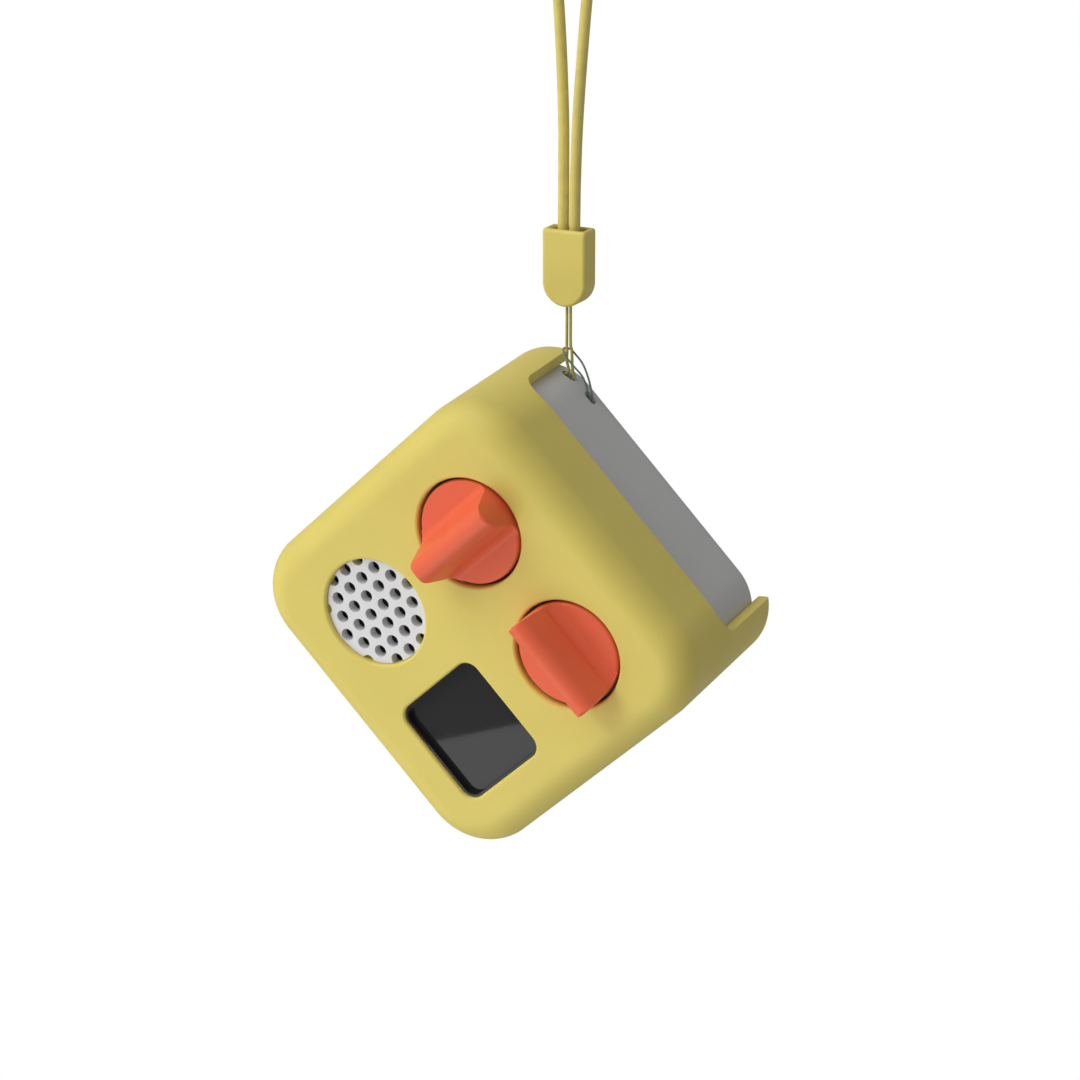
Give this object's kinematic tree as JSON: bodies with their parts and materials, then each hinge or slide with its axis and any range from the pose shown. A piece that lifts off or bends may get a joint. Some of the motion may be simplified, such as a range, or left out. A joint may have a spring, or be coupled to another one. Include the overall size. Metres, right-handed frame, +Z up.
{
  "type": "portable audio player",
  "caption": "Small square audio player with two turn-and-push knobs, speaker and display, in a silicone sleeve, hung by one corner from its wrist strap.",
  "frame": {"origin": "top of the strap's loop, where the strap is held", "axes": "+Z up along the hanging strap, -Y the way the player's front faces as it hangs, +X to the right seen from the front; the player hangs by one corner, turned 47.3 degrees in the plane of its front and tipped 4.3 degrees forwards"},
  "size_m": [0.0948, 0.0534, 0.2385],
  "materials": {
    "sleeve_silicone": "matt silicone rubber, soft to the touch",
    "casing_plastic": "fine matt moulded plastic",
    "grille_plastic": "fine matt moulded plastic",
    "foam": "closed-cell foam",
    "dark_plastic": "moulded, matt",
    "cone_paper": "pressed paper",
    "bare_metal": "nickel-plated, brushed",
    "display_glass": "smoked, polished",
    "diffuser": "milky diffuser",
    "circuit_board": "green solder mask",
    "knob_plastic": "soft matt moulded plastic",
    "cell_wrap": "shrink wrap",
    "lead_red": "insulated twin wire",
    "lead_black": "insulated twin wire",
    "ribbon": "flat flexible cable",
    "antenna_film": "copper on film",
    "screw_steel": "zinc plated",
    "plug_rubber": "soft moulded rubber",
    "bead_silicone": "matt moulded rubber",
    "cord_yellow": "soft round cord with a satin skin",
    "string_nylon": "thin nylon string, yellow, grey-green round its bight"
  },
  "bodies": {
    "player": {"silicone_sleeve": "sleeve_silicone", "front_shell": "dark_plastic", "rear_shell": "casing_plastic", "speaker_grille": "grille_plastic", "speaker_gasket": "foam", "speaker_frame": "dark_plastic", "speaker_cone": "cone_paper", "speaker_magnet": "bare_metal", "display_lens": "display_glass", "display_gasket": "foam", "display_module": "diffuser", "front_board": "circuit_board", "left_encoder": "bare_metal", "right_encoder": "bare_metal", "main_board": "circuit_board", "shield_can": "bare_metal", "battery": "cell_wrap", "battery_pad": "foam", "battery_lead": "lead_red", "speaker_lead": "lead_black", "board_ribbon": "ribbon", "antenna": "antenna_film", "usb_socket": "bare_metal", "headphone_socket": "dark_plastic", "power_switch": "dark_plastic", "casing_screws": "screw_steel", "board_screws": "screw_steel", "front_board_screws": "screw_steel", "screw_plugs": "plug_rubber", "strap_bead": "bead_silicone", "strap_crimp": "bare_metal", "strap_cord": "cord_yellow", "strap_string": "string_nylon"},
    "left_rotor": {"left_rotor": "dark_plastic"},
    "left_knob": {"left_shaft": "bare_metal", "left_knob": "knob_plastic"},
    "right_rotor": {"right_rotor": "dark_plastic"},
    "right_knob": {"right_shaft": "bare_metal", "right_knob": "knob_plastic"},
    "power_button": {"power_button": "knob_plastic"}
  },
  "joints": [
    {"name": "left_knob_turn", "type": "hinge", "parent": "player", "child": "left_rotor", "pos_m": [-0.00551, -0.03261, -0.17008], "axis": [0, -0.9972, -0.075], "continuous": true},
    {"name": "left_knob_push", "type": "slide", "parent": "left_rotor", "child": "left_knob", "axis": [0, 0.9972, 0.075], "range_m": [0, 0.0006], "stiffness_N_per_m": 4000, "springref_m": -0.0003},
    {"name": "right_knob_turn", "type": "hinge", "parent": "player", "child": "right_rotor", "pos_m": [0.01504, -0.03094, -0.19229], "axis": [0, -0.9972, -0.075], "continuous": true},
    {"name": "right_knob_push", "type": "slide", "parent": "right_rotor", "child": "right_knob", "axis": [0, 0.9972, 0.075], "range_m": [0, 0.0006], "stiffness_N_per_m": 4000, "springref_m": -0.0003},
    {"name": "power_button_push", "type": "slide", "parent": "player", "child": "power_button", "axis": [-0.6782, -0.0551, 0.7328], "range_m": [0, 0.0006], "stiffness_N_per_m": 3000, "springref_m": -0.0003}
  ]
}
